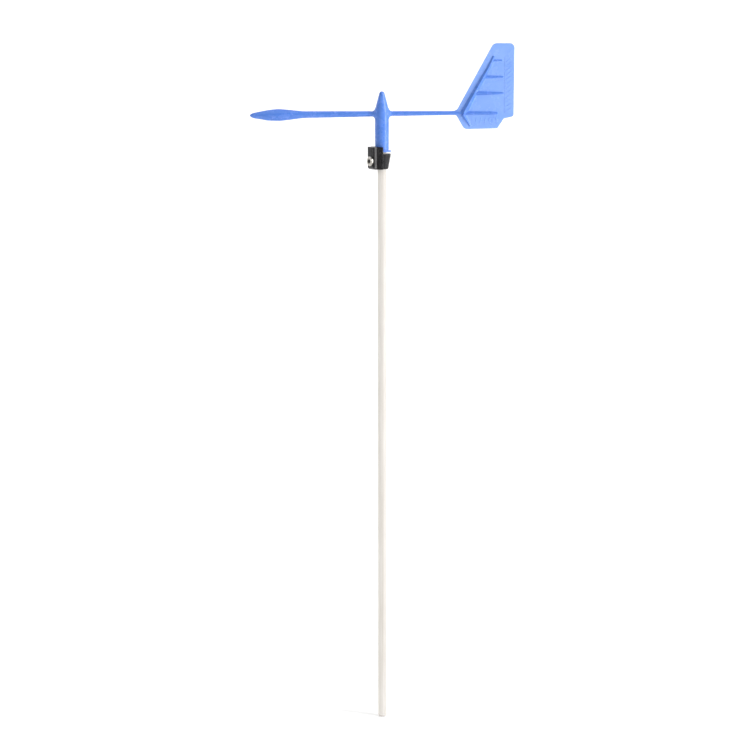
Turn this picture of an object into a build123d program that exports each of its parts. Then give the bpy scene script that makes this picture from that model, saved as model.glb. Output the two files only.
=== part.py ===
from build123d import *
import math
import os

# Masthead wind indicator for a small sailing boat, in millimetres.
# The origin is the centre of the rod's lower end. +Z runs up the rod, and at rest
# the vane lies along X, with its nose towards -X and its tail fin towards +X.

# ---- rod -------------------------------------------------------------------------
ROD_RADIUS = 2.5
ROD_LENGTH = 350.0
ROD_END_ROUND = 1.4            # rounded lower end
JOURNAL_RADIUS = 2.475         # the rod's top is polished down a little for the vane
JOURNAL_BEVEL = 0.6

# ---- needle and its cup ------------------------------------------------------------
NEEDLE_RADIUS = 0.75
NEEDLE_DEPTH = 8.0             # how far the needle is pressed into the rod
NEEDLE_TIP_Z = 355.0
NEEDLE_TAPER = 1.7             # length of the ground point
NEEDLE_TIP_RADIUS = 0.08
CUP_RADIUS = 1.9
CUP_LOW_Z = 351.4
CUP_HIGH_Z = 356.4
CUP_MOUTH_RADIUS = 1.1
SEAT_GAP = 0.05                # under the apex of the cup, above the needle

# ---- nose weight, moulded into the nose ------------------------------------------------
WEIGHT_RADIUS = 1.5
WEIGHT_LENGTH = 14.3
WEIGHT_CENTRE_X = -60.0
WEIGHT_Z = 353.0

# ---- vane: hub ---------------------------------------------------------------------
HUB_LOW_Z = 332.2              # underside of the flange
FLANGE_RADIUS = 5.3
FLANGE_THICKNESS = 0.8
SLEEVE_LOW_RADIUS = 3.93
BORE_RADIUS = 2.56
BORE_TOP_Z = 350.7
CONE_LOW_Z = 355.8
CONE_HALF_ANGLE = 15.0
HUB_TOP_Z = 366.4
HUB_TIP_RADIUS = 1.56

# ---- vane: arms, nose and fin --------------------------------------------------------
NOSE_TIP_X = -75.0
TAIL_X = 75.0
ARM_TOP_Z = 355.38
ARM_LOW_Z = 351.8
ROOT_ROUND = 1.6               # where the arms leave the hub
PARTING_ROUND = 0.3            # softened edge where the two halves of the mould met
CREST_ROUND = 0.3              # softened sides, as a part of the thickness
FIN_TOP_Z = 393.4
FIN_THICKNESS = 0.7
FIN_EDGE = 0.15                # chamfer round the fin
PANEL_LOW_Z = 354.0            # raised field along the fin's trailing edge
PANEL_HIGH_Z = 386.0
PANEL_INNER_X = 69.4
PANEL_OUTER_X = 74.4
PANEL_HEIGHT = 0.12            # above the fin's face
MARK_HEIGHT = 0.3              # raised bars, above the fin's face
MARK_COUNT = 12
MARK_LENGTH = 3.9
MARK_WIDTH = 0.7
MARK_LEAN = 35.0
LOW_MARK_Z = 349.8             # centre line of the bars and ring below the middle rib
LOW_BARS_X = 56.0
LOW_BAR_PITCH = 2.6
LOW_BAR_LENGTH = 3.6
LOW_BAR_LEAN = -12.0
RING_X = 63.0
RING_RADIUS = 2.4
RING_INNER_RADIUS = 1.8
DOT_RADIUS = 0.7

# ---- collar --------------------------------------------------------------------------
COLLAR_LOW_Z = 322.4
COLLAR_STEP_Z = 331.1          # top of the tapered body, below the flange
COLLAR_HIGH_Z = 335.15         # top of the lip that hooks over the flange
COLLAR_BORE_RADIUS = 2.55
BODY_LOW_RADIUS = 3.6
BODY_HIGH_RADIUS = 5.15
BLOCK_RADIUS = 6.45
BLOCK_HALF_SPAN = 64.0         # degrees each way from the screw's direction
BOSS_FACE = 7.75               # the screw's flat face, from the rod's axis
BOSS_WIDTH = 6.8
RECESS_RADIUS = 5.6
HOOK_RADIUS = 4.25
HOOK_LOW_Z = 333.4
BLOCK_ROUND = 0.5              # upright corners of the block
BLOCK_EDGE = 0.4               # its upper and lower edges
BOSS_BEVEL = 1.2               # under the boss
BODY_EDGE = 0.4
SCREW_DIRECTION = 213.0        # degrees from +X, about the rod
SCREW_Z = 327.1

# ---- clamp screw and nut ---------------------------------------------------------------
THREAD_RADIUS = 1.5
HEAD_RADIUS = 2.75
HEAD_FACE = 8.75               # outer face of the head, from the rod's axis
HEAD_HEIGHT = 2.0
HEAD_SEAT = 6.73               # floor of the counterbore, from the rod's axis
HEAD_ROUND = 0.3
SCREW_TIP = 2.6                # just off the rod
THREAD_CHAMFER = 0.4
HEX_WIDTH = 2.5
HEX_DEPTH = 1.3
NUT_WIDTH = 5.5
NUT_THICKNESS = 1.8
NUT_INNER = 3.35               # inner face of the nut, from the rod's axis
CLEARANCE = 0.05

# Planes of the collar: X points along the screw, out of the boss.
outward = (math.cos(math.radians(SCREW_DIRECTION)), math.sin(math.radians(SCREW_DIRECTION)), 0)
across = (outward[1], -outward[0], 0)


def collar_plane(height):
    """Level plane at a height, with its X axis along the screw."""
    return Plane(origin=(0, 0, height), x_dir=outward, z_dir=(0, 0, 1))


def screw_plane(distance):
    """Plane square to the screw, a distance out from the rod's axis."""
    centre = (outward[0] * distance, outward[1] * distance, SCREW_Z)
    return Plane(origin=centre, x_dir=across, z_dir=outward)


def arm_section(x, low, high, width):
    """Diamond square to the arm, with soft sides and softened parting edges."""
    middle = (low + high) / 2
    with BuildSketch(Plane.YZ.offset(x)) as section:
        with BuildLine():
            Polyline((0, low), (width / 2, middle), (0, high), (-width / 2, middle), close=True)
        make_face()
        corners = section.vertices().sort_by(Axis.X)
        fillet((corners[0], corners[-1]), radius=width * CREST_ROUND)
        corners = section.vertices().sort_by(Axis.Y)
        fillet((corners[0], corners[-1]), radius=PARTING_ROUND)
    return section.sketch


def is_arm_root(edge):
    """True for an edge where an arm meets the hub."""
    middle = edge.center()
    beside_hub = 2.0 < abs(middle.X) < 5.0
    return beside_hub and ARM_LOW_Z < middle.Z < ARM_TOP_Z + 0.3 and edge.bounding_box().size.X < 2.0


def rib_sections(stations):
    """Six-sided sections square to a rib's run, with a ridge above each face of the fin."""
    root, tip = stations[0][0], stations[-1][0]
    run = (tip[0] - root[0], 0, tip[1] - root[1])
    face = FIN_THICKNESS / 2
    sections = []
    for place, width, height in stations:
        reach = face + height
        square = Plane(origin=(place[0], 0, place[1]), x_dir=(0, 1, 0), z_dir=run)
        with BuildSketch(square) as section:
            with BuildLine():
                Polyline(
                    (reach, 0),
                    (face, width / 2),
                    (-face, width / 2),
                    (-reach, 0),
                    (-face, -width / 2),
                    (face, -width / 2),
                    close=True,
                )
            make_face()
        sections.append(section.sketch)
    return sections


# ---- rod ---------------------------------------------------------------------------
TAPER_LOW_Z = COLLAR_LOW_Z - 0.9
TAPER_HIGH_Z = COLLAR_STEP_Z + 0.8

with BuildPart() as rod:
    with BuildSketch(Plane.XZ):
        with BuildLine():
            Polyline(
                (ROD_RADIUS, ROD_END_ROUND),
                (ROD_RADIUS, TAPER_LOW_Z),
                (JOURNAL_RADIUS, TAPER_HIGH_Z),
                (JOURNAL_RADIUS, ROD_LENGTH - JOURNAL_BEVEL),
                (JOURNAL_RADIUS - JOURNAL_BEVEL, ROD_LENGTH),
                (0, ROD_LENGTH),
                (0, 0),
                (ROD_RADIUS - ROD_END_ROUND, 0),
            )
            RadiusArc((ROD_RADIUS - ROD_END_ROUND, 0), (ROD_RADIUS, ROD_END_ROUND), -ROD_END_ROUND)
        make_face()
    revolve(axis=Axis.Z)
    with Locations((0, 0, ROD_LENGTH)):
        Hole(radius=NEEDLE_RADIUS, depth=NEEDLE_DEPTH)
rod.part.label = "rod"

# ---- pivot needle ----------------------------------------------------------------------
NEEDLE_LOW_Z = ROD_LENGTH - NEEDLE_DEPTH

with BuildPart() as pivot_needle:
    with BuildSketch(Plane.XZ):
        with BuildLine():
            Polyline(
                (0, NEEDLE_LOW_Z),
                (NEEDLE_RADIUS, NEEDLE_LOW_Z),
                (NEEDLE_RADIUS, NEEDLE_TIP_Z - NEEDLE_TAPER),
                (NEEDLE_TIP_RADIUS, NEEDLE_TIP_Z),
                (0, NEEDLE_TIP_Z),
                close=True,
            )
        make_face()
    revolve(axis=Axis.Z)
pivot_needle.part.label = "pivot_needle"

# ---- bearing cup -------------------------------------------------------------------------
CUP_APEX_Z = NEEDLE_TIP_Z + SEAT_GAP

with BuildPart() as bearing_cup:
    with BuildSketch(Plane.XZ):
        with BuildLine():
            Polyline(
                (CUP_MOUTH_RADIUS, CUP_LOW_Z),
                (CUP_RADIUS, CUP_LOW_Z),
                (CUP_RADIUS, CUP_HIGH_Z),
                (0, CUP_HIGH_Z),
                (0, CUP_APEX_Z),
                (CUP_MOUTH_RADIUS, CUP_APEX_Z - CUP_MOUTH_RADIUS),
                close=True,
            )
        make_face()
    revolve(axis=Axis.Z)
bearing_cup.part.label = "bearing_cup"

# ---- vane: one moulding of hub, arms, nose and ribbed fin ------------------------------------
# Each station is its place along X, its lower and upper edge, and its thickness.
NOSE_STATIONS = (
    (-44.0, 351.1, 355.4, 3.6),
    (-48.0, 350.7, 355.7, 4.4),
    (-53.0, 350.05, 356.2, 5.6),
    (-58.5, 349.55, 356.6, 6.4),
    (-63.5, 349.65, 356.2, 6.1),
    (-68.5, 350.4, 355.3, 4.8),
    (-72.5, 351.05, 354.5, 3.3),
    (-74.5, 351.75, 353.75, 2.0),
)
NOSE_TIP_STATIONS = (
    NOSE_STATIONS[-1],
    (NOSE_TIP_X, 352.2, 353.3, 1.1),
)
FRONT_ARM_STATIONS = (
    NOSE_STATIONS[0],
    (-2.8, 351.95, ARM_TOP_Z, 2.9),
)
REAR_ARM_STATIONS = (
    (2.8, 352.15, ARM_TOP_Z, 2.9),
    (38.0, 352.75, ARM_TOP_Z, 2.55),
    (44.5, 352.9, 355.25, 2.5),
    (48.0, 353.3, 354.8, 1.6),
)
# The fin's corners after its foot, each with the radius that rounds it.
FIN_CORNERS = (
    ((42.28, 355.4), 3.0),
    ((63.1, FIN_TOP_Z), 3.2),
    ((TAIL_X, FIN_TOP_Z), 2.6),
    ((TAIL_X - 0.25, 352.2), 1.6),
    ((69.1, 350.9), 0.9),
    ((65.5, 345.35), 1.6),
    ((46.7, 344.9), 3.0),
    ((42.2, 352.85), 1.6),
)
# Each rib is a row of stations from its root to its tip: place, width where it meets
# the fin, and height above the fin.
RIBS = (
    (
        ((46.2, 353.9), 4.1, 1.8),
        ((53.2, 366.8), 3.3, 1.45),
        ((60.8, 380.3), 2.65, 1.0),
        ((63.4, 386.0), 2.1, 0.7),
    ),
    (((62.5, 383.75), 1.6, 0.6), ((68.2, 383.75), 1.1, 0.35)),
    (((57.6, 374.45), 2.2, 0.9), ((62.8, 374.45), 1.75, 0.7), ((68.8, 374.45), 1.3, 0.35)),
    (((52.7, 365.3), 2.8, 1.15), ((62.8, 365.3), 1.95, 0.8), ((69.0, 365.3), 1.5, 0.4)),
    (((46.2, 354.1), 2.4, 1.0), ((62.8, 354.05), 2.15, 0.75), ((65.6, 354.0), 1.7, 0.45)),
    (((46.0, 353.4), 2.9, 1.2), ((46.9, 351.8), 2.6, 1.1), ((50.1, 346.7), 1.2, 0.4)),
)
FIN_FOOT = ((38.0, 353.2), (38.0, 355.2))
panel_centre_x = (PANEL_INNER_X + PANEL_OUTER_X) / 2
panel_centre_z = (PANEL_LOW_Z + PANEL_HIGH_Z) / 2
panel_pitch = (PANEL_HIGH_Z - PANEL_LOW_Z) / (MARK_COUNT + 0.5)
cone_slope = math.tan(math.radians(CONE_HALF_ANGLE))
tip_centre_z = HUB_TOP_Z - HUB_TIP_RADIUS
tip_tangent = (
    HUB_TIP_RADIUS * math.cos(math.radians(CONE_HALF_ANGLE)),
    tip_centre_z + HUB_TIP_RADIUS * math.sin(math.radians(CONE_HALF_ANGLE)),
)
cone_base_radius = tip_tangent[0] + (tip_tangent[1] - CONE_LOW_Z) * cone_slope

with BuildPart() as vane:
    # Fin plate, with its foot buried in the arm.
    with BuildSketch(Plane.XZ) as fin_outline:
        with BuildLine():
            corners = [corner for corner, radius in FIN_CORNERS]
            Polyline(*FIN_FOOT, *corners, close=True)
        make_face()
        for corner, radius in FIN_CORNERS:
            fillet(fin_outline.vertices().sort_by_distance(corner)[0], radius=radius)
    extrude(amount=FIN_THICKNESS / 2, both=True)
    sides = vane.faces().sort_by(Axis.Y)
    chamfer(sides[0].edges() + sides[-1].edges(), length=FIN_EDGE)
    # Raised field along the trailing edge, with a plain row of slanting bars.
    with BuildSketch(Plane.XZ):
        with Locations((panel_centre_x, panel_centre_z)):
            Rectangle(PANEL_OUTER_X - PANEL_INNER_X, PANEL_HIGH_Z - PANEL_LOW_Z)
    extrude(amount=FIN_THICKNESS / 2 + PANEL_HEIGHT, both=True)
    with BuildSketch(Plane.XZ):
        with Locations((panel_centre_x, panel_centre_z)):
            with GridLocations(0, panel_pitch, 1, MARK_COUNT):
                Rectangle(MARK_LENGTH, MARK_WIDTH, rotation=MARK_LEAN)
    extrude(amount=FIN_THICKNESS / 2 + MARK_HEIGHT, both=True)
    # Below the middle rib: three bars and a ring.
    with BuildSketch(Plane.XZ):
        with Locations((LOW_BARS_X, LOW_MARK_Z)):
            with GridLocations(LOW_BAR_PITCH, 0, 3, 1):
                Rectangle(MARK_WIDTH, LOW_BAR_LENGTH, rotation=LOW_BAR_LEAN)
        with Locations((RING_X, LOW_MARK_Z)):
            Circle(RING_RADIUS)
            Circle(RING_INNER_RADIUS, mode=Mode.SUBTRACT)
            Circle(DOT_RADIUS)
    extrude(amount=FIN_THICKNESS / 2 + PANEL_HEIGHT, both=True)
    # Nose, smooth through its stations.
    loft(sections=[arm_section(*station) for station in NOSE_STATIONS])
    loft(sections=[arm_section(*station) for station in NOSE_TIP_STATIONS], ruled=True)
    # Front arm.
    loft(sections=[arm_section(*station) for station in FRONT_ARM_STATIONS], ruled=True)
    # Rear arm.
    loft(sections=[arm_section(*station) for station in REAR_ARM_STATIONS], ruled=True)
    # Hub.
    with BuildSketch(Plane.XZ):
        with BuildLine():
            Polyline(
                tip_tangent,
                (cone_base_radius, CONE_LOW_Z),
                (SLEEVE_LOW_RADIUS, HUB_LOW_Z + FLANGE_THICKNESS),
                (FLANGE_RADIUS, HUB_LOW_Z + FLANGE_THICKNESS),
                (FLANGE_RADIUS, HUB_LOW_Z),
                (0, HUB_LOW_Z),
                (0, HUB_TOP_Z),
            )
            RadiusArc((0, HUB_TOP_Z), tip_tangent, HUB_TIP_RADIUS)
        make_face()
    revolve(axis=Axis.Z)
    # Rounded roots where the arms leave the hub.
    roots = vane.edges().filter_by(is_arm_root)
    fillet(roots, radius=ROOT_ROUND)
    # Ribs of the fin.
    for stations in RIBS:
        loft(sections=rib_sections(stations), ruled=True)
    # Bore for the rod, and the socket for the bearing cup.
    with Locations((0, 0, HUB_LOW_Z)):
        Cylinder(
            BORE_RADIUS, BORE_TOP_Z - HUB_LOW_Z,
            align=(Align.CENTER, Align.CENTER, Align.MIN), mode=Mode.SUBTRACT,
        )
        Cylinder(
            CUP_RADIUS, CUP_HIGH_Z - HUB_LOW_Z,
            align=(Align.CENTER, Align.CENTER, Align.MIN), mode=Mode.SUBTRACT,
        )
    # Pocket that the nose weight fills.
    with BuildSketch(Plane.YZ.offset(WEIGHT_CENTRE_X - WEIGHT_LENGTH / 2)):
        with Locations((0, WEIGHT_Z)):
            Circle(WEIGHT_RADIUS)
    extrude(amount=WEIGHT_LENGTH, mode=Mode.SUBTRACT)
vane.part.label = "vane"

# ---- nose weight -------------------------------------------------------------------------
with BuildPart() as nose_weight:
    with BuildSketch(Plane.YZ.offset(WEIGHT_CENTRE_X - WEIGHT_LENGTH / 2)):
        with Locations((0, WEIGHT_Z)):
            Circle(WEIGHT_RADIUS)
    extrude(amount=WEIGHT_LENGTH)
nose_weight.part.label = "nose_weight"

# ---- retainer collar ---------------------------------------------------------------------
def is_outer(shape):
    """True for an edge or corner of the collar's block that lies away from the rod."""
    middle = shape.center()
    return math.hypot(middle.X, middle.Y) > RECESS_RADIUS


with BuildPart() as retainer_collar:
    # Upright block round the screw, carried up as the lip.
    with BuildSketch(collar_plane(COLLAR_LOW_Z)) as block_outline:
        Circle(BLOCK_RADIUS)
        with BuildLine():
            far = 2 * BLOCK_RADIUS
            span = math.radians(BLOCK_HALF_SPAN)
            Polyline(
                (0, 0),
                (far * math.cos(span), far * math.sin(span)),
                (far, 0),
                (far * math.cos(span), -far * math.sin(span)),
                close=True,
            )
        make_face(mode=Mode.INTERSECT)
        with Locations((BOSS_FACE / 2, 0)):
            Rectangle(BOSS_FACE, BOSS_WIDTH)
        fillet(block_outline.vertices().filter_by(is_outer), radius=BLOCK_ROUND)
    extrude(amount=COLLAR_HIGH_Z - COLLAR_LOW_Z)
    ends = retainer_collar.faces().sort_by(Axis.Z)
    chamfer(ends[0].edges().filter_by(is_outer), length=BLOCK_EDGE)
    ends = retainer_collar.faces().sort_by(Axis.Z)
    fillet(ends[-1].edges().filter_by(is_outer), radius=BLOCK_EDGE)
    # Bevel under the boss.
    with BuildSketch(Plane(origin=(0, 0, COLLAR_LOW_Z), x_dir=outward, z_dir=across)):
        with BuildLine():
            Polyline(
                (BOSS_FACE - BOSS_BEVEL, 0),
                (BOSS_FACE + BOSS_BEVEL, 0),
                (BOSS_FACE + BOSS_BEVEL, 2 * BOSS_BEVEL),
                close=True,
            )
        make_face()
    extrude(amount=BOSS_WIDTH, both=True, mode=Mode.SUBTRACT)
    # Tapered body round the rod.
    with BuildSketch(Plane.XZ):
        with BuildLine():
            Polyline(
                (0, COLLAR_LOW_Z),
                (BODY_LOW_RADIUS, COLLAR_LOW_Z),
                (BODY_HIGH_RADIUS, COLLAR_STEP_Z - BODY_EDGE),
                (BODY_HIGH_RADIUS - BODY_EDGE, COLLAR_STEP_Z),
                (0, COLLAR_STEP_Z),
                close=True,
            )
        make_face()
    revolve(axis=Axis.Z)
    # Recess for the flange, with the hook above it, and the bore for the rod.
    with BuildSketch(Plane.XY.offset(COLLAR_STEP_Z)):
        Circle(RECESS_RADIUS)
    extrude(amount=HOOK_LOW_Z - COLLAR_STEP_Z, mode=Mode.SUBTRACT)
    with BuildSketch(Plane.XY.offset(COLLAR_STEP_Z)):
        Circle(HOOK_RADIUS)
    extrude(amount=COLLAR_HIGH_Z - COLLAR_STEP_Z, mode=Mode.SUBTRACT)
    with BuildSketch(Plane.XY.offset(COLLAR_LOW_Z)):
        Circle(COLLAR_BORE_RADIUS)
    extrude(amount=COLLAR_STEP_Z - COLLAR_LOW_Z, mode=Mode.SUBTRACT)
    # Screw hole with its counterbore.
    with Locations(screw_plane(BOSS_FACE)):
        CounterBoreHole(
            radius=THREAD_RADIUS + CLEARANCE,
            counter_bore_radius=HEAD_RADIUS + 2 * CLEARANCE,
            counter_bore_depth=BOSS_FACE - HEAD_SEAT,
            depth=BOSS_FACE - COLLAR_BORE_RADIUS / 2,
        )
    # Slot for the nut, open at the bottom.
    with BuildSketch(collar_plane(COLLAR_LOW_Z)):
        with Locations((NUT_INNER + NUT_THICKNESS / 2 - CLEARANCE, 0)):
            Rectangle(NUT_THICKNESS + 2 * CLEARANCE, NUT_WIDTH + 2 * CLEARANCE)
    extrude(amount=SCREW_Z + NUT_WIDTH / 2 - COLLAR_LOW_Z, mode=Mode.SUBTRACT)
retainer_collar.part.label = "retainer_collar"

# ---- clamp nut ---------------------------------------------------------------------------
with BuildPart() as clamp_nut:
    with BuildSketch(screw_plane(NUT_INNER)):
        Rectangle(NUT_WIDTH, NUT_WIDTH)
        Circle(THREAD_RADIUS + CLEARANCE, mode=Mode.SUBTRACT)
    extrude(amount=NUT_THICKNESS)
clamp_nut.part.label = "clamp_nut"

# ---- clamp screw -------------------------------------------------------------------------
with BuildPart() as clamp_screw:
    with BuildSketch(screw_plane(SCREW_TIP)):
        Circle(THREAD_RADIUS)
    extrude(amount=HEAD_FACE - HEAD_HEIGHT - SCREW_TIP)
    tip_edge = clamp_screw.edges().filter_by(GeomType.CIRCLE).sort_by_distance((0, 0, SCREW_Z))[0]
    chamfer(tip_edge, length=THREAD_CHAMFER)
    with BuildSketch(screw_plane(HEAD_FACE - HEAD_HEIGHT)):
        Circle(HEAD_RADIUS)
    extrude(amount=HEAD_HEIGHT)
    rim = clamp_screw.edges().filter_by(GeomType.CIRCLE).sort_by_distance((0, 0, SCREW_Z))[-1]
    fillet(rim, radius=HEAD_ROUND)
    with BuildSketch(screw_plane(HEAD_FACE)):
        RegularPolygon(radius=HEX_WIDTH / 2, side_count=6, major_radius=False)
    extrude(amount=-HEX_DEPTH, mode=Mode.SUBTRACT)
clamp_screw.part.label = "clamp_screw"

os.makedirs("parts", exist_ok=True)
pieces = (
    rod, pivot_needle, bearing_cup, vane, nose_weight,
    retainer_collar, clamp_nut, clamp_screw,
)
for piece in pieces:
    export_step(piece.part, f"parts/{piece.part.label}.step")
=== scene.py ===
import math

import bmesh
import bpy
import numpy as np
from mathutils import Matrix, Vector


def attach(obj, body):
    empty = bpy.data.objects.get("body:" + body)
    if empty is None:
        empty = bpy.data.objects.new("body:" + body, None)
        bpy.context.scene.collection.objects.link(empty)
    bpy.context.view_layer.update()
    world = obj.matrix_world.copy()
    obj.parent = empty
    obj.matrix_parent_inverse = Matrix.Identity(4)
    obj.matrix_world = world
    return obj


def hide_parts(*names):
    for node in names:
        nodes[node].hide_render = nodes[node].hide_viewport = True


# Masthead wind indicator: blue moulded vane, black collar with its clamp screw, pale
# glass-fibre rod. Meshes are built in millimetres in the CAD frame, then scaled to metres.

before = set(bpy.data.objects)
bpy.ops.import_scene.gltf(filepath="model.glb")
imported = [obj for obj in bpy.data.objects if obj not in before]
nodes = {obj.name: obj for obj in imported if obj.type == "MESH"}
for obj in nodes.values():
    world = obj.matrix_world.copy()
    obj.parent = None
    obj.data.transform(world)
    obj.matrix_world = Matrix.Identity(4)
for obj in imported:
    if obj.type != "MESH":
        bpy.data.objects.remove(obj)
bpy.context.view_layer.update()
MM = 0.001


# ---- mesh helpers --------------------------------------------------------------------
def lerp(a, b, share):
    return a + (b - a) * share


def rounded(corners, radii, steps=6):
    """A closed outline with each corner turned into an arc of its radius."""
    points = []
    count = len(corners)
    for i, (corner, radius) in enumerate(zip(corners, radii)):
        here = Vector(corner)
        back = (Vector(corners[i - 1]) - here).normalized()
        ahead = (Vector(corners[(i + 1) % count]) - here).normalized()
        half = back.angle(ahead) / 2
        centre = here + (back + ahead).normalized() * (radius / math.sin(half))
        first = here + back * (radius / math.tan(half)) - centre
        last = here + ahead * (radius / math.tan(half)) - centre
        sweep = first.angle_signed(last)
        for step in range(steps + 1):
            turn = Matrix.Rotation(-sweep * step / steps, 2)
            points.append(tuple(centre + turn @ first))
    return points


def new_mesh(name, vertices, faces):
    mesh = bpy.data.meshes.new(name)
    mesh.from_pydata([tuple(v) for v in vertices], [], faces)
    made = bmesh.new()
    made.from_mesh(mesh)
    bmesh.ops.remove_doubles(made, verts=made.verts, dist=1e-5)
    bmesh.ops.recalc_face_normals(made, faces=made.faces)
    made.to_mesh(mesh)
    made.free()
    return mesh


def rings_mesh(name, rings):
    """Skin over rings of equal length, with both ends capped."""
    size = len(rings[0])
    vertices = [point for ring in rings for point in ring]
    faces = []
    for i in range(len(rings) - 1):
        low, high = i * size, (i + 1) * size
        for j in range(size):
            k = (j + 1) % size
            faces.append((low + j, low + k, high + k, high + j))
    faces.append(tuple(range(size - 1, -1, -1)))
    faces.append(tuple(range((len(rings) - 1) * size, len(rings) * size)))
    return new_mesh(name, vertices, faces)


def lathe(name, profile, segments=96):
    """Turns a closed profile of (radius, height) about Z."""
    vertices, faces = [], []
    size = len(profile)
    for i in range(segments):
        angle = 2 * math.pi * i / segments
        for radius, height in profile:
            vertices.append((radius * math.cos(angle), radius * math.sin(angle), height))
    for i in range(segments):
        low, high = i * size, ((i + 1) % segments) * size
        for j in range(size):
            k = (j + 1) % size
            ring = (low + j, high + j, high + k, low + k)
            axis_edge = profile[j][0] < 1e-6 and profile[k][0] < 1e-6
            if not axis_edge:
                faces.append(ring)
    return new_mesh(name, vertices, faces)


def inset(flat, amount):
    """A closed flat outline moved inwards by an amount."""
    ahead = np.roll(flat, -1, 0) - flat
    behind = flat - np.roll(flat, 1, 0)
    tangent = ahead / np.linalg.norm(ahead, axis=1)[:, None]
    tangent += behind / np.linalg.norm(behind, axis=1)[:, None]
    inward = np.stack([-tangent[:, 1], tangent[:, 0]], 1)
    inward /= np.linalg.norm(inward, axis=1)[:, None]
    area = np.sum(flat[:, 0] * np.roll(flat[:, 1], -1) - flat[:, 1] * np.roll(flat[:, 0], -1))
    return flat + inward * math.copysign(amount, area)


def prism(name, outline, place, low, high):
    """Extrudes a flat outline from low to high. place maps (u, v, height) to a point."""
    rings = [[place(u, v, height) for u, v in outline] for height in (low, high)]
    return rings_mesh(name, rings)


def through(places, values, where):
    """Values at where, on a smooth curve through the stations that never overshoots them."""
    x, y = np.array(places, float), np.array(values, float)
    if x[0] > x[-1]:
        x, y = x[::-1], y[::-1]
    gap = np.diff(x)
    slope = np.diff(y) / gap
    lean = np.zeros(len(x))
    lean[0], lean[-1] = slope[0], slope[-1]
    for i in range(1, len(x) - 1):
        if slope[i - 1] * slope[i] > 0:
            a, b = 2 * gap[i] + gap[i - 1], gap[i] + 2 * gap[i - 1]
            lean[i] = (a + b) / (a / slope[i - 1] + b / slope[i])
    index = np.clip(np.searchsorted(x, where) - 1, 0, len(gap) - 1)
    width = gap[index]
    t = (where - x[index]) / width
    ends = (1 + 2 * t) * (1 - t) ** 2 * y[index] + t * t * (3 - 2 * t) * y[index + 1]
    leans = t * (1 - t) ** 2 * width * lean[index] - t * t * (1 - t) * width * lean[index + 1]
    return ends + leans


def joined(name, meshes):
    """One object that holds all the meshes."""
    made = bmesh.new()
    for mesh in meshes:
        made.from_mesh(mesh)
    whole = bpy.data.meshes.new(name)
    made.to_mesh(whole)
    made.free()
    obj = bpy.data.objects.new(name, whole)
    bpy.context.scene.collection.objects.link(obj)
    return obj


def applied(obj):
    """The object's mesh with its modifiers, which are then removed."""
    graph = bpy.context.evaluated_depsgraph_get()
    mesh = bpy.data.meshes.new_from_object(obj.evaluated_get(graph))
    obj.modifiers.clear()
    obj.data = mesh
    return obj


def cut(obj, tool_mesh):
    """Cuts one closed mesh out of another."""
    tool = joined("cutter", [tool_mesh])
    boolean = obj.modifiers.new("cut", "BOOLEAN")
    boolean.operation = "DIFFERENCE"
    boolean.solver = "EXACT"
    boolean.object = tool
    applied(obj)
    bpy.data.objects.remove(tool)
    return obj


def moulded(obj, voxel, passes, extra=None):
    """Fuses overlapping shells into one skin and softens it, as a moulding is soft.

    extra gives more passes to some vertices: a function of their places, 0 to 1."""
    remesh = obj.modifiers.new("fuse", "REMESH")
    remesh.mode = "VOXEL"
    remesh.voxel_size = voxel
    applied(obj)
    mesh = obj.data
    count = len(mesh.vertices)
    places = np.empty(count * 3, np.float32)
    mesh.vertices.foreach_get("co", places)
    places = places.reshape(-1, 3).astype(float)
    edges = np.empty(len(mesh.edges) * 2, np.int32)
    mesh.edges.foreach_get("vertices", edges)
    a, b = edges.reshape(-1, 2).T
    degree = np.bincount(a, minlength=count) + np.bincount(b, minlength=count)
    rounds = [np.ones(count)] * passes
    if extra is not None:
        share = extra(places)
        rounds += [share] * 40
    for weight in rounds:
        for axis in range(3):
            total = np.bincount(a, places[b, axis], count) + np.bincount(b, places[a, axis], count)
            places[:, axis] += 0.6 * weight * (total / degree - places[:, axis])
    mesh.vertices.foreach_set("co", places.astype(np.float32).ravel())
    mesh.update()
    return obj


def finished(obj, body, material, replaces=None):
    """Scales a piece to metres, smooths it, and puts it on its body."""
    obj.data.transform(Matrix.Scale(MM, 4))
    for face in obj.data.polygons:
        face.use_smooth = True
    obj.data.materials.clear()
    obj.data.materials.append(material)
    if replaces:
        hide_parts(replaces)
    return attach(obj, body)


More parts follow.
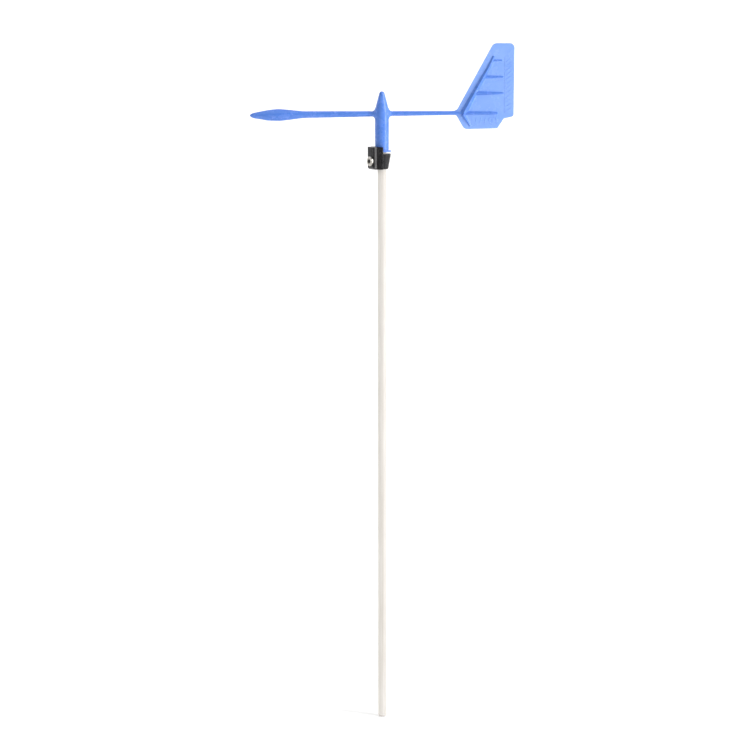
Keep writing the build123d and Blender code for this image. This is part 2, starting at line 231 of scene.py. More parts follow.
# ---- material helpers ------------------------------------------------------------------
class Nodes:
    """Short calls for building a material's node tree."""

    def __init__(self, name):
        self.material = bpy.data.materials.new(name)
        self.material.use_nodes = True
        self.tree = self.material.node_tree
        self.shader = self.tree.nodes["Principled BSDF"]
        self.place = self.tree.nodes.new("ShaderNodeTexCoord").outputs["Object"]

    def link(self, source, target):
        self.tree.links.new(source, target)

    def mapped(self, scale, location=(0, 0, 0), turn=0.0, kind="POINT"):
        node = self.tree.nodes.new("ShaderNodeMapping")
        node.vector_type = kind
        node.inputs["Location"].default_value = location
        node.inputs["Rotation"].default_value = (0, 0, turn)
        node.inputs["Scale"].default_value = scale
        self.link(self.place, node.inputs["Vector"])
        return node.outputs["Vector"]

    def noise(self, scale, detail=4.0, rough=0.5, vector=None):
        node = self.tree.nodes.new("ShaderNodeTexNoise")
        node.inputs["Scale"].default_value = scale
        node.inputs["Detail"].default_value = detail
        node.inputs["Roughness"].default_value = rough
        self.link(vector or self.place, node.inputs["Vector"])
        return node.outputs["Fac"]

    def spots(self, scale, vector=None):
        node = self.tree.nodes.new("ShaderNodeTexVoronoi")
        node.inputs["Scale"].default_value = scale
        self.link(vector or self.place, node.inputs["Vector"])
        return node.outputs["Distance"]

    def spread(self, value, low, high, to_low, to_high):
        node = self.tree.nodes.new("ShaderNodeMapRange")
        node.inputs["From Min"].default_value = low
        node.inputs["From Max"].default_value = high
        node.inputs["To Min"].default_value = to_low
        node.inputs["To Max"].default_value = to_high
        self.link(value, node.inputs["Value"])
        return node.outputs["Result"]

    def maths(self, operation, a, b):
        node = self.tree.nodes.new("ShaderNodeMath")
        node.operation = operation
        for socket, value in zip(node.inputs, (a, b)):
            if isinstance(value, (int, float)):
                socket.default_value = value
            else:
                self.link(value, socket)
        return node.outputs["Value"]

    def mix(self, share, a, b):
        """Colour a where share is 0, and b where it is 1."""
        node = self.tree.nodes.new("ShaderNodeMix")
        node.data_type = "RGBA"
        for name, value in (("Factor", share), ("A", a), ("B", b)):
            socket = [s for s in node.inputs if s.name == name and s.enabled][0]
            if isinstance(value, (tuple, float)):
                socket.default_value = value
            else:
                self.link(value, socket)
        return [s for s in node.outputs if s.enabled][0]

    def pointed(self):
        return self.tree.nodes.new("ShaderNodeNewGeometry").outputs["Pointiness"]

    def bump(self, height, depth, before=None):
        node = self.tree.nodes.new("ShaderNodeBump")
        node.inputs["Strength"].default_value = 1.0
        node.inputs["Distance"].default_value = depth
        self.link(height, node.inputs["Height"])
        if before is not None:
            self.link(before, node.inputs["Normal"])
        return node.outputs["Normal"]

    def done(self, colour, roughness, normal, metallic=0.0, specular=0.5):
        self.link(colour, self.shader.inputs["Base Color"])
        self.link(roughness, self.shader.inputs["Roughness"])
        self.link(normal, self.shader.inputs["Normal"])
        self.shader.inputs["Metallic"].default_value = metallic
        self.shader.inputs["Specular IOR Level"].default_value = specular
        return self.material


def srgb(red, green, blue):
    """A colour as it looks on screen, 0 to 255, turned to the linear values nodes use."""
    linear = []
    for value in (red, green, blue):
        share = value / 255
        linear.append(share / 12.92 if share <= 0.04045 else ((share + 0.055) / 1.055) ** 2.4)
    return (*linear, 1.0)


# ---- materials ---------------------------------------------------------------------------
def vane_plastic(name, worn_and_shaded):
    """Blue moulded plastic with faint flow marks and a fine skin; painted back-light makes the thin fin
    paler, as if lit through.

    The flag adds rubbed crests, which are wear, and painted shade in the creases, and keeps the ribs out
    of the painted back-light; this needs a finely meshed surface."""
    n = Nodes(name)
    flow = n.noise(1.0, 3.0, 0.55, n.mapped((60, 160, 120)))
    grain = n.noise(900.0, 3.0, 0.6)
    thick = n.mix(n.spread(flow, 0.3, 0.7, 0.0, 1.0), srgb(80, 129, 222), srgb(88, 136, 227))
    # Painted back-light: this paler blue stands for light shining through the thin fin.
    thin_backlit = n.mix(n.spread(flow, 0.3, 0.7, 0.0, 1.0), srgb(128, 168, 246), srgb(138, 175, 249))
    axes = n.tree.nodes.new("ShaderNodeSeparateXYZ")
    n.link(n.place, axes.inputs["Vector"])
    depth = n.maths("ABSOLUTE", axes.outputs["Y"], 0.0)
    # Painted back-light mask: 1 on the fin beyond the hub, and with the flag only at the plate's faces, so
    # the ribs keep the deeper blue.
    backlit_fin = n.maths(
        "MULTIPLY",
        n.spread(axes.outputs["X"], 0.0405, 0.044, 0.0, 1.0),
        n.spread(depth, 0.00039, 0.00056, 1.0, 0.0) if worn_and_shaded else 1.0,
    )
    colour = n.mix(backlit_fin, thick, thin_backlit)
    chalk = n.spread(n.maths("MULTIPLY", n.noise(260.0, 5.0, 0.65), grain), 0.24, 0.42, 0.0, 0.14)
    colour = n.mix(chalk, colour, srgb(150, 184, 250))
    if worn_and_shaded:
        scuff = n.spread(n.pointed(), 0.53, 0.62, 0.0, 0.16)
        colour = n.mix(scuff, colour, srgb(140, 174, 245))
        # Painted shade: the creases, where pointiness is low, are painted darker blue.
        crease_shade = n.spread(n.pointed(), 0.485, 0.42, 0.0, 0.4)
        colour = n.mix(crease_shade, colour, srgb(58, 102, 200))
    rough = n.spread(n.noise(180.0, 4.0, 0.6), 0.3, 0.7, 0.2, 0.32)
    ripple = n.bump(n.noise(140.0, 2.0, 0.5), 0.00005)
    skin = n.bump(n.noise(2600.0, 2.0, 0.5), 0.00001, ripple)
    return n.done(colour, rough, skin, specular=0.55)


def collar_plastic():
    """Black moulded nylon with a slight sheen, flecks of dust and rubbed edges."""
    n = Nodes("collar_plastic")
    flow = n.noise(220.0, 4.0, 0.6)
    colour = n.mix(n.spread(flow, 0.3, 0.7, 0.0, 1.0), srgb(13, 12, 14), srgb(22, 21, 25))
    rub = n.spread(n.pointed(), 0.53, 0.62, 0.0, 0.3)
    colour = n.mix(rub, colour, srgb(60, 59, 66))
    dust = n.spread(n.noise(1600.0, 5.0, 0.7), 0.62, 0.78, 0.0, 0.12)
    colour = n.mix(dust, colour, srgb(88, 86, 88))
    rough = n.spread(n.noise(420.0, 4.0, 0.6), 0.3, 0.7, 0.24, 0.36)
    sink = n.bump(n.noise(260.0, 2.0, 0.5), 0.00005)
    skin = n.bump(n.noise(3800.0, 2.0, 0.6), 0.00001, sink)
    return n.done(colour, rough, skin, specular=0.32)


def rod_fibreglass():
    """Pultruded glass fibre: pale resin with fine fibres along the rod, pits and handling marks."""
    n = Nodes("rod_fibreglass")
    along = n.mapped((1.0, 1.0, 0.006))
    fibres = n.noise(5200.0, 3.0, 0.6, along)
    strands = n.noise(1300.0, 3.0, 0.55, along)
    cloud = n.noise(1.0, 3.0, 0.5, n.mapped((240, 240, 22)))
    colour = n.mix(n.spread(cloud, 0.3, 0.7, 0.0, 1.0), srgb(222, 216, 208), srgb(232, 228, 223))
    colour = n.mix(n.spread(strands, 0.42, 0.7, 0.0, 0.5), colour, srgb(202, 195, 186))
    colour = n.mix(n.spread(fibres, 0.56, 0.72, 0.0, 0.55), colour, srgb(245, 243, 240))
    pits = n.spread(n.spots(900.0, n.mapped((1.0, 1.0, 0.35))), 0.1, 0.02, 0.0, 0.4)
    colour = n.mix(pits, colour, srgb(168, 160, 150))
    rough = n.spread(fibres, 0.3, 0.7, 0.38, 0.56)
    weave = n.bump(strands, 0.00004)
    skin = n.bump(fibres, 0.00002, weave)
    return n.done(colour, rough, skin, specular=0.45)


def turned_steel(name, light, dark, axis_place, axis_turn, mark_scale):
    """Machined metal with turning marks about an axis and a little tarnish."""
    n = Nodes(name)
    local = n.mapped((1, 1, 1), axis_place, axis_turn, "TEXTURE")
    rings = n.tree.nodes.new("ShaderNodeTexWave")
    rings.wave_type = "RINGS"
    rings.rings_direction = "X"
    rings.inputs["Scale"].default_value = mark_scale
    rings.inputs["Distortion"].default_value = 1.2
    rings.inputs["Detail"].default_value = 2.0
    n.link(local, rings.inputs["Vector"])
    tarnish = n.noise(900.0, 5.0, 0.6)
    colour = n.mix(n.spread(tarnish, 0.35, 0.7, 0.0, 1.0), light, dark)
    rough = n.spread(n.noise(2400.0, 4.0, 0.6), 0.3, 0.7, 0.22, 0.38)
    marks = n.bump(rings.outputs["Fac"], 0.000008)
    nicks = n.bump(n.noise(1900.0, 4.0, 0.7), 0.00001, marks)
    return n.done(colour, rough, nicks, metallic=1.0)


SCREW_TURN = math.radians(213.0)
SCREW_HEIGHT = 327.1
screw_centre = (0.0, 0.0, SCREW_HEIGHT * MM)
blue = vane_plastic("vane_plastic", True)
# Without the flag the raised marks are painted the pale back-lit blue, a painted highlight along them.
blue_marks = vane_plastic("vane_plastic_marks", False)
black = collar_plastic()
pale = rod_fibreglass()
steel = turned_steel(
    "fastener_steel", srgb(222, 219, 212), srgb(176, 171, 163), screw_centre, SCREW_TURN, 2600.0,
)
needle = turned_steel(
    "needle_steel", srgb(205, 205, 207), srgb(160, 160, 164), screw_centre, SCREW_TURN, 3000.0,
)
brass = turned_steel(
    "cup_brass", srgb(214, 178, 104), srgb(170, 132, 70), screw_centre, SCREW_TURN, 2400.0,
)
lead = turned_steel(
    "weight_steel", srgb(150, 150, 152), srgb(110, 108, 106), screw_centre, SCREW_TURN, 1500.0,
)


# ---- vane ----------------------------------------------------------------------------------
HUB_LOW = 332.2
FLANGE_TOP = 333.0
FLANGE_RADIUS = 5.28
SLEEVE_LOW_RADIUS = 3.93
CONE_LOW = 355.8
CONE_ANGLE = math.radians(15.0)
HUB_TOP = 366.4
TIP_RADIUS = 1.56
BORE_RADIUS = 2.57
BORE_TOP = 350.7
SOCKET_RADIUS = 1.95
SOCKET_TOP = 356.45


def hub_mesh():
    """Sleeve, flange, cone and rounded tip, with the bore for the rod."""
    centre = HUB_TOP - TIP_RADIUS
    tangent_radius = TIP_RADIUS * math.cos(CONE_ANGLE)
    tangent_height = centre + TIP_RADIUS * math.sin(CONE_ANGLE)
    cone_radius = tangent_radius + (tangent_height - CONE_LOW) * math.tan(CONE_ANGLE)
    profile = [(0.0, SOCKET_TOP), (SOCKET_RADIUS, SOCKET_TOP), (SOCKET_RADIUS, BORE_TOP)]
    profile += [(BORE_RADIUS, BORE_TOP), (BORE_RADIUS, HUB_LOW)]
    profile += [(FLANGE_RADIUS, HUB_LOW), (FLANGE_RADIUS, FLANGE_TOP), (SLEEVE_LOW_RADIUS, FLANGE_TOP)]
    for share in (0.25, 0.5, 0.75, 1.0):
        height = lerp(FLANGE_TOP, CONE_LOW, share)
        profile.append((lerp(SLEEVE_LOW_RADIUS, cone_radius, share), height))
    steps = 14
    for step in range(steps + 1):
        angle = lerp(CONE_ANGLE, math.pi / 2, step / steps)
        profile.append((TIP_RADIUS * math.cos(angle), centre + TIP_RADIUS * math.sin(angle)))
    return lathe("hub", profile, 160)


# Stations of the two arms: place along X, lower edge, upper edge, thickness.
FRONT_ARM = (
    (-2.8, 351.95, 355.38, 2.9),
    (-20.0, 351.6, 355.38, 3.15),
    (-36.0, 351.28, 355.38, 3.4),
    (-44.0, 351.1, 355.4, 3.6),
    (-48.0, 350.7, 355.7, 4.4),
    (-53.0, 350.05, 356.2, 5.6),
    (-58.5, 349.55, 356.6, 6.4),
    (-63.5, 349.65, 356.2, 6.1),
    (-68.5, 350.4, 355.3, 4.8),
    (-72.5, 351.05, 354.5, 3.3),
    (-74.97, 351.85, 353.65, 1.9),
)
REAR_ARM = (
    (2.8, 352.15, 355.38, 2.9),
    (22.0, 352.48, 355.38, 2.7),
    (38.0, 352.75, 355.36, 2.55),
    (44.5, 352.9, 355.25, 2.5),
    (48.0, 353.3, 354.8, 1.6),
)
NOSE_END_LENGTH = 1.3


ROOT_ROUND = 2.1
HUB_AT_ARM = 4.0


def root_flare(distance):
    """How far an arm swells at a distance from the hub's axis, as a quarter round."""
    left = (HUB_AT_ARM + ROOT_ROUND - distance) / ROOT_ROUND
    left = min(1.0, max(0.0, left))
    return ROOT_ROUND * 0.85 * (1 - math.sqrt(1 - left * left))


def arm_mesh(name, stations, step, blunt):
    """Soft diamond swept through the stations. blunt rounds off the far end."""
    first, last = stations[0][0], stations[-1][0]
    count = int(abs(last - first) / step) + 1
    where = np.linspace(first, last, count)
    if blunt:
        fine = last - np.sign(last - first) * NOSE_END_LENGTH * np.linspace(1, 0, 14) ** 2
        where = np.concatenate([where[abs(where - last) > NOSE_END_LENGTH], fine])
    root = np.sign(first) * np.linspace(HUB_AT_ARM, HUB_AT_ARM + ROOT_ROUND, 14)
    where = np.concatenate([[first], root, where[abs(where) > HUB_AT_ARM + ROOT_ROUND]])
    places = [s[0] for s in stations]
    low = through(places, [s[1] for s in stations], where)
    high = through(places, [s[2] for s in stations], where)
    thick = through(places, [s[3] for s in stations], where)
    rings = []
    for x, bottom, top, width in zip(where, low, high, thick):
        flare = root_flare(abs(x))
        bottom, top, width = bottom - flare, top + flare, width + 2 * flare
        if blunt:
            left = min(1.0, abs(x - last) / NOSE_END_LENGTH)
            shrink = max(0.12, math.sqrt(1 - (1 - left) ** 2))
            middle = (bottom + top) / 2
            bottom, top = middle - (middle - bottom) * shrink, middle + (top - middle) * shrink
            width *= shrink
        middle = (bottom + top) / 2
        corners = [(0, bottom), (width / 2, middle), (0, top), (-width / 2, middle)]
        ease = min(0.3, 0.12 * (top - bottom))
        outline = rounded(corners, [ease, width * 0.3, ease, width * 0.3], 6)
        rings.append([(x, y, z) for y, z in outline])
    return rings_mesh(name, rings)


FIN_THICKNESS = 0.7
FIN_TOP = 393.4
TAIL = 75.0
# The fin's corners, each with the radius that rounds it.
FIN_CORNERS = (
    ((38.0, 355.2), 0.2),
    ((42.28, 355.4), 3.0),
    ((63.1, FIN_TOP), 3.2),
    ((TAIL, FIN_TOP), 2.6),
    ((TAIL - 0.25, 352.2), 1.6),
    ((69.1, 350.9), 0.9),
    ((65.5, 345.35), 1.6),
    ((46.7, 344.9), 3.0),
    ((42.2, 352.85), 1.6),
    ((38.0, 353.2), 0.2),
)
# Ribs on both faces, from root to tip: place, width at the face, and height above it.
RIBS = (
    (
        ((46.2, 353.9), 4.1, 1.8),
        ((53.2, 366.8), 3.3, 1.45),
        ((60.8, 380.3), 2.65, 1.0),
        ((63.4, 386.0), 2.1, 0.7),
    ),
    (((62.5, 383.75), 1.6, 0.6), ((68.2, 383.75), 1.1, 0.35)),
    (((57.6, 374.45), 2.2, 0.9), ((62.8, 374.45), 1.75, 0.7), ((68.8, 374.45), 1.3, 0.35)),
    (((52.7, 365.3), 2.8, 1.15), ((62.8, 365.3), 1.95, 0.8), ((69.0, 365.3), 1.5, 0.4)),
    (((46.2, 354.1), 2.4, 1.0), ((62.8, 354.05), 2.15, 0.75), ((65.6, 354.0), 1.7, 0.45)),
    (((46.0, 353.4), 2.9, 1.2), ((46.9, 351.8), 2.6, 1.1), ((50.1, 346.7), 1.2, 0.4)),
)


SUNK = 0.08
LOW_MARK_RISE = 0.28


def raised(name, outline, place, rise, slope):
    """A mark that stands on a face, with sloping sides and a softened upper edge."""
    flat = np.array(outline)
    levels = ((-SUNK, 0.0), (0.0, 0.0), (rise * 0.75, slope * 0.5), (rise, slope))
    rings = [[place(u, v, height) for u, v in inset(flat, amount)] for height, amount in levels]
    return rings_mesh(name, rings)


def in_fin(u, v, height):
    return (u, height, v)


def rib_mesh(name, stations):
    """Ridge on each face of the fin, with straight sides up to a narrow crest."""
    root, tip = Vector(stations[0][0]), Vector(stations[-1][0])
    run = (tip - root).normalized()
    side = Vector((-run.y, run.x))
    face = FIN_THICKNESS / 2
    rings = []
    for place, width, height in stations:
        shape = ((width / 2, face), (0.12, face + height), (-0.12, face + height), (-width / 2, face))
        outline = list(shape) + [(across_rib, -level) for across_rib, level in reversed(shape)]
        ring = []
        for across_rib, level in outline:
            point = Vector(place) + side * across_rib
            ring.append((point.x, level, point.y))
        rings.append(ring)
    return rings_mesh(name, rings)


PANEL = ((69.4, 354.0), (74.4, 386.0))
PANEL_RISE = 0.12
MARK_RISE = 0.3
MARKS = 12
BAR_WIDTH = 0.7
BAR_LENGTH = 3.9
BAR_LEAN = 35.0
LOW_FIELD = ((51.0, 347.1), (64.6, 347.1), (65.6, 348.6), (65.6, 352.7), (51.0, 352.7))
LOW_MARK_Z = 349.8
LOW_BAR_X = 53.4
LOW_BAR_PITCH = 2.6
LOW_BAR_LENGTH = 3.6
LOW_BAR_LEAN = 78.0
RING_X = 63.0


def bar_outline(x, z, length, width, lean):
    turn = Matrix.Rotation(math.radians(lean), 2)
    signs = ((-1, -1), (1, -1), (1, 1), (-1, 1))
    corners = [(along * length / 2, aside * width / 2) for along, aside in signs]
    moved = [tuple(turn @ Vector(corner) + Vector((x, z))) for corner in corners]
    return rounded(moved, [width * 0.42] * 4, 4)


def on_face(side):
    """Maps (u, v, height above the fin's face) to a point, on the near or the far face."""
    return lambda u, v, height: (u, side * (FIN_THICKNESS / 2 + height), v)


def mark_meshes(side):
    """The raised field with its slanting bars, and the bars and ring below the middle rib."""
    place = on_face(side)
    (x0, z0), (x1, z1) = PANEL
    field = rounded([(x0, z0), (x1, z0), (x1, z1), (x0, z1)], [0.5] * 4, 5)
    made = [raised("field", field, place, PANEL_RISE, 0.08)]
    low_field = rounded(LOW_FIELD, [0.4] * 5, 5)
    made.append(raised("low_field", low_field, place, PANEL_RISE, 0.08))
    pitch = (z1 - z0) / (MARKS + 0.5)
    for i in range(MARKS):
        z = (z0 + z1) / 2 + (i - (MARKS - 1) / 2) * pitch
        bar = bar_outline((x0 + x1) / 2, z, BAR_LENGTH, BAR_WIDTH, BAR_LEAN)
        made.append(raised("bar", bar, place, MARK_RISE, 0.14))
    for i in range(3):
        x = LOW_BAR_X + LOW_BAR_PITCH * i
        bar = bar_outline(x, LOW_MARK_Z, LOW_BAR_LENGTH, BAR_WIDTH, LOW_BAR_LEAN)
        made.append(raised("bar", bar, place, LOW_MARK_RISE, 0.12))
    ring = [(1.8, -SUNK), (1.8, 0.1), (1.9, LOW_MARK_RISE), (2.3, LOW_MARK_RISE), (2.4, 0.1), (2.4, -SUNK)]
    dot = [(0.0, -SUNK), (0.7, -SUNK), (0.7, 0.1), (0.6, LOW_MARK_RISE), (0.0, LOW_MARK_RISE)]
    for profile in (ring, dot):
        turned = lathe("ring", profile, 48)
        for vertex in turned.vertices:
            u, v, height = vertex.co
            vertex.co = place(RING_X + u, LOW_MARK_Z + v, height)
        corners = [vertex.co for vertex in turned.vertices]
        faces = [tuple(face.vertices) for face in turned.polygons]
        made.append(new_mesh("ring", corners, faces))
    return made


def near_hub(places):
    """1 where the arms leave the hub, 0 away from it."""
    radius = np.hypot(places[:, 0], places[:, 1])
    beside = np.clip((6.6 - radius) / 1.2, 0, 1) * (radius > 2.9)
    level = np.clip((4.6 - abs(places[:, 2] - 353.8)) / 1.2, 0, 1)
    sideways = np.clip((abs(places[:, 0]) - 1.9) / 1.0, 0, 1)
    return beside * level * sideways


plate = prism(
    "plate", rounded([c for c, r in FIN_CORNERS], [r for c, r in FIN_CORNERS], 10), in_fin,
    -FIN_THICKNESS / 2, FIN_THICKNESS / 2,
)
vane_shells = [hub_mesh(), plate]
vane_shells.append(arm_mesh("front_arm", FRONT_ARM, 0.4, True))
vane_shells.append(arm_mesh("rear_arm", REAR_ARM, 0.5, False))
vane_shells += [rib_mesh("rib", stations) for stations in RIBS]
vane = moulded(joined("vane_moulding", vane_shells), 0.15, 3, near_hub)
finished(vane, "vane", blue, "vane")
marks = joined("vane_marks", mark_meshes(-1) + mark_meshes(1))
finished(marks, "vane", blue_marks)
marks.data.set_sharp_from_angle(angle=math.radians(30))


# ---- rod -----------------------------------------------------------------------------------
ROD_RADIUS = 2.5
ROD_TOP = 350.0
END_ROUND = 1.4
JOURNAL_RADIUS = 2.475

rod_profile = [(0.0, 0.0)]
for step in range(9):
    angle = math.pi / 2 * step / 8
    rod_profile.append((
        ROD_RADIUS - END_ROUND + END_ROUND * math.sin(angle),
        END_ROUND - END_ROUND * math.cos(angle),
    ))
for step in range(1, 81):
    rod_profile.append((ROD_RADIUS, lerp(END_ROUND, 321.5, step / 80)))
rod_profile += [
    (JOURNAL_RADIUS, 331.5), (JOURNAL_RADIUS, ROD_TOP - 0.6), (JOURNAL_RADIUS - 0.18, ROD_TOP - 0.18),
    (JOURNAL_RADIUS - 0.6, ROD_TOP), (0.76, ROD_TOP), (0.76, ROD_TOP - 8.0), (0.0, ROD_TOP - 8.0),
]
rod = joined("rod_shaft", [lathe("rod", rod_profile, 96)])
finished(rod, "rod", pale, "rod")


# ---- collar --------------------------------------------------------------------------------
COLLAR_LOW = 322.4
COLLAR_STEP = 331.1
COLLAR_HIGH = 335.15
BODY_LOW_RADIUS = 3.6
BODY_HIGH_RADIUS = 5.15
RECESS_RADIUS = 5.6
HOOK_RADIUS = 4.25
HOOK_LOW = 333.4
COLLAR_BORE = 2.57
HEAD_SEAT = 6.73               # floor of the counterbore, from the rod's axis
COUNTERBORE_RADIUS = 2.85
SCREW_HOLE_RADIUS = 1.56
SLOT_LOW, SLOT_HIGH = 3.3, 5.2
SLOT_HALF_WIDTH = 2.8
outward = Vector((math.cos(SCREW_TURN), math.sin(SCREW_TURN), 0))
across = Vector((-outward.y, outward.x, 0))


def in_collar(u, v, height):
    """u runs out along the screw, v across it."""
    point = outward * u + across * v
    return (point.x, point.y, height)


def along_screw(profile, segments=72):
    """A turned shape whose height runs out along the screw's axis."""
    made = lathe("turned", profile, segments)
    made.transform(Matrix.Translation((0, 0, SCREW_HEIGHT)) @ Matrix((
        (across.x, 0, outward.x, 0), (across.y, 0, outward.y, 0), (0, 1, 0, 0), (0, 0, 0, 1),
    )))
    made.flip_normals()
    return made


def block_outline():
    """The collar's block: a round back with a flat boss for the screw."""
    radius, boss, half_width, span = 6.45, 7.75, 3.4, math.radians(64.0)
    meet = math.asin(half_width / radius)
    points = [(0.0, 0.0)]
    arc = [(radius * math.cos(a), radius * math.sin(a)) for a in np.linspace(-span, -meet, 14)]
    points += arc + [(boss, -half_width), (boss, half_width)] + [(u, -v) for u, v in reversed(arc)]
    radii = [0.01, 0.5] + [0.01] * 12 + [0.35, 0.6, 0.6, 0.35] + [0.01] * 12 + [0.5]
    return rounded(points, radii, 4)


block = joined("block", [prism("block", block_outline(), in_collar, COLLAR_LOW, COLLAR_HIGH)])
cone = joined("cone", [lathe("cone", [
    (0.0, COLLAR_LOW), (BODY_LOW_RADIUS, COLLAR_LOW), (BODY_HIGH_RADIUS, COLLAR_STEP - 0.3),
    (BODY_HIGH_RADIUS - 0.25, COLLAR_STEP), (0.0, COLLAR_STEP),
], 128)])
collar = joined("collar_skin", [block.data, cone.data])
for spare in (block, cone):
    bpy.data.objects.remove(spare)
moulded(collar, 0.1, 3)
wedge = [(6.4, COLLAR_LOW - 0.2), (9.2, COLLAR_LOW - 0.2), (9.2, COLLAR_LOW + 2.6)]
wedge_rings = [[in_collar(u, v, z) for u, z in wedge] for v in (-8.0, 8.0)]
cut(collar, rings_mesh("wedge", wedge_rings))


def plug(radius, low, high):
    """The closed profile of a plain round plug."""
    return [(0, low), (radius, low), (radius, high), (0, high)]


cut(collar, lathe("recess", plug(RECESS_RADIUS, COLLAR_STEP, HOOK_LOW), 128))
cut(collar, lathe("mouth", plug(HOOK_RADIUS, 333.0, 336.0), 128))
cut(collar, lathe("bore", plug(COLLAR_BORE, 321.0, 332.0), 96))
cut(collar, along_screw(plug(COUNTERBORE_RADIUS, HEAD_SEAT, 10.0)))
cut(collar, along_screw(plug(SCREW_HOLE_RADIUS, 1.5, 8.0)))
slot_outline = (
    (SLOT_LOW, -SLOT_HALF_WIDTH), (SLOT_HIGH, -SLOT_HALF_WIDTH),
    (SLOT_HIGH, SLOT_HALF_WIDTH), (SLOT_LOW, SLOT_HALF_WIDTH),
)
slot_rings = [
    [in_collar(u, v, z) for u, v in slot_outline] for z in (COLLAR_LOW - 1, SCREW_HEIGHT + 2.75)
]
cut(collar, rings_mesh("nut_slot", slot_rings))
moulded(collar, 0.08, 3)
collar.name = "collar_moulding"
finished(collar, "collar", black, "retainer_collar")


# ---- clamp screw ---------------------------------------------------------------------------
SCREW_TIP = 2.6                # these are distances from the rod's axis
THREAD_START = 3.0
HEAD_FACE = 8.75
THREAD_PITCH = 0.5
THREAD_TURNS = 7
CREST_RADIUS = 1.48
ROOT_RADIUS = 1.22
HEAD_RADIUS = 2.75
HEAD_ROUND = 0.45
HEX_WIDTH = 2.5
HEX_FLOOR = 7.45


def screw_profile():
    """Tip, thread crests, and a low head with a rounded rim."""
    profile = [(0.0, SCREW_TIP), (1.1, SCREW_TIP)]
    for i in range(THREAD_TURNS):
        z = THREAD_START + i * THREAD_PITCH
        profile += [(CREST_RADIUS, z), (CREST_RADIUS, z + 0.06)]
        profile += [(ROOT_RADIUS, z + 0.24), (ROOT_RADIUS, z + 0.3)]
    profile += [(1.4, 6.6), (1.4, 6.75), (HEAD_RADIUS - 0.2, 6.75), (HEAD_RADIUS, 6.9)]
    for step in range(7):
        angle = math.pi / 2 * step / 6
        profile.append((
            HEAD_RADIUS - HEAD_ROUND + HEAD_ROUND * math.cos(angle),
            HEAD_FACE - HEAD_ROUND + HEAD_ROUND * math.sin(angle),
        ))
    profile += [(2.2, HEAD_FACE), (0.0, HEAD_FACE)]
    return profile


screw = joined("clamp_screw_turned", [along_screw(screw_profile(), 96)])
hex_side = HEX_WIDTH / math.sqrt(3)
hex_rings = []
for depth in (HEX_FLOOR, 10.0):
    ring = []
    for i in range(6):
        angle = math.radians(60 * i + 30)
        v, w = hex_side * math.cos(angle), hex_side * math.sin(angle)
        point = outward * depth + across * v
        ring.append((point.x, point.y, SCREW_HEIGHT + w))
    hex_rings.append(ring)
cut(screw, rings_mesh("hexagon", hex_rings))
cut(screw, along_screw([(0, 8.5), (1.2, 8.5), (1.62, 8.8), (1.7, 9.2), (0, 9.2)], 96))
soft = screw.modifiers.new("soft_edges", "BEVEL")
soft.width = 0.04
soft.segments = 2
soft.limit_method = "ANGLE"
soft.angle_limit = math.radians(40)
applied(screw)
finished(screw, "screw", steel, "clamp_screw")
screw.data.set_sharp_from_angle(angle=math.radians(38))

# ---- CAD pieces kept as they are -------------------------------------------------------------
for name, material in (
    ("pivot_needle", needle), ("bearing_cup", brass), ("nose_weight", lead), ("clamp_nut", steel),
):
    for slot in nodes[name].material_slots:
        slot.link = "OBJECT"
        slot.material = material


# ---- floor, backdrop, light and camera ---------------------------------------------------------
def studio_bowl():
    """Pale floor that curves up into a backdrop all the way round."""
    floor_radius, bend, wall = 2.8, 1.0, 3.6
    line = [(floor_radius * share, 0.0) for share in (0.0, 0.25, 0.5, 0.75, 1.0)]
    for step in range(1, 13):
        angle = math.pi / 2 * step / 12
        line.append((floor_radius + bend * math.sin(angle), bend - bend * math.cos(angle)))
    line.append((floor_radius + bend, wall))
    segments = 96
    vertices, faces = [], []
    for i in range(segments):
        angle = 2 * math.pi * i / segments
        vertices += [(r * math.cos(angle), r * math.sin(angle), z) for r, z in line]
    for i in range(segments):
        low, high = i * len(line), ((i + 1) % segments) * len(line)
        faces += [(low + j, high + j, high + j + 1, low + j + 1) for j in range(len(line) - 1)]
    obj = joined("studio_bowl", [new_mesh("studio_bowl", vertices, faces)])
    for face in obj.data.polygons:
        face.use_smooth = True
    return obj


paper = bpy.data.materials.new("studio_paper")
paper.use_nodes = True
paper_shader = paper.node_tree.nodes["Principled BSDF"]
paper_shader.inputs["Base Color"].default_value = (0.93, 0.93, 0.93, 1)
paper_shader.inputs["Roughness"].default_value = 0.9
paper_shader.inputs["Specular IOR Level"].default_value = 0.1
paper_shader.inputs["Emission Color"].default_value = (1, 1, 1, 1)
paper_shader.inputs["Emission Strength"].default_value = 0.135
backdrop = studio_bowl()
backdrop.data.materials.append(paper)


def softbox(name, place, target, size, power):
    data = bpy.data.lights.new(name, "AREA")
    data.shape = "RECTANGLE"
    data.size, data.size_y = size
    data.energy = power
    lamp = bpy.data.objects.new(name, data)
    bpy.context.scene.collection.objects.link(lamp)
    lamp.location = place
    lamp.rotation_mode = "QUATERNION"
    lamp.rotation_quaternion = (Vector(target) - Vector(place)).to_track_quat("-Z", "Y")
    return lamp


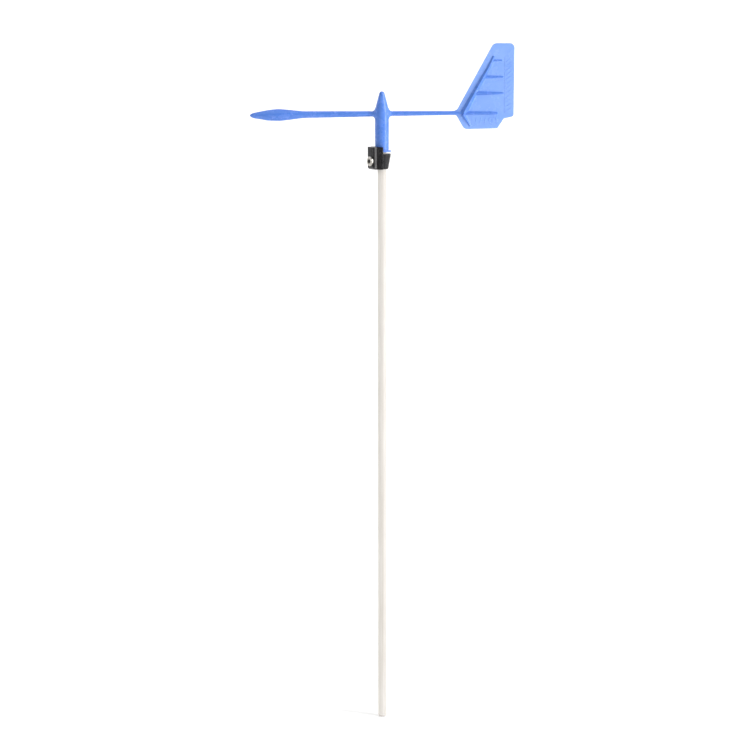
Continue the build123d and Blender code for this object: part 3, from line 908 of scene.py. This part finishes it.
def from_front(turn, rise, distance):
    """A place round the object: turn to the right of the front, rise above level, in degrees."""
    turn, rise = math.radians(turn), math.radians(rise)
    level = distance * math.cos(rise)
    return (level * math.sin(turn), -level * math.cos(turn), 0.3 + distance * math.sin(rise))


middle = (0, 0, 0.3)
key = softbox("key", from_front(60, 33, 1.7), middle, (0.4, 0.8), 10.5)
softbox("backdrop_wash", (0, 0.9, 3.0), (0, 3.7, 1.0), (4.0, 0.8), 78.0)
softbox("hub_strip", from_front(66, 6, 1.4), middle, (0.16, 0.9), 9.0)
softbox("top", (0, 0.2, 2.3), middle, (2.0, 2.0), 11.5)
rod_key = softbox("rod_key", from_front(-38, 20, 1.8), middle, (0.6, 1.4), 6.0)


def lit_by(lamp, objects, state):
    """Limits a lamp to some objects, or keeps it off them."""
    group = bpy.data.collections.new(lamp.name + "_objects")
    for obj in objects:
        group.objects.link(obj)
    lamp.light_linking.receiver_collection = group
    for member in group.collection_objects:
        member.light_linking.link_state = state


lit_by(key, [rod], "EXCLUDE")
lit_by(rod_key, [rod], "INCLUDE")

world = bpy.data.worlds.new("studio")
bpy.context.scene.world = world
world.use_nodes = True
sky = world.node_tree.nodes.get("Background") or world.node_tree.nodes.new("ShaderNodeBackground")
sky.inputs["Color"].default_value = (1, 1, 1, 1)
sky.inputs["Strength"].default_value = 0.1
bpy.context.scene.view_settings.view_transform = "Standard"

CAMERA_PLACE = Vector((-0.0041, -1.4803, 0.4459))
CAMERA_TARGET = Vector((-0.0041, 0.0, 0.2035))
CAMERA_ROLL = math.radians(-0.07)
camera_data = bpy.data.cameras.new("camera")
camera_data.lens = 124.85
camera_data.clip_start = 0.05
camera_data.clip_end = 30.0
camera = bpy.data.objects.new("camera", camera_data)
bpy.context.scene.collection.objects.link(camera)
camera.location = CAMERA_PLACE
camera.rotation_mode = "QUATERNION"
aim = (CAMERA_TARGET - CAMERA_PLACE).to_track_quat("-Z", "Y").to_matrix()
camera.rotation_quaternion = (aim @ Matrix.Rotation(CAMERA_ROLL, 3, "Z")).to_quaternion()
bpy.context.scene.camera = camera
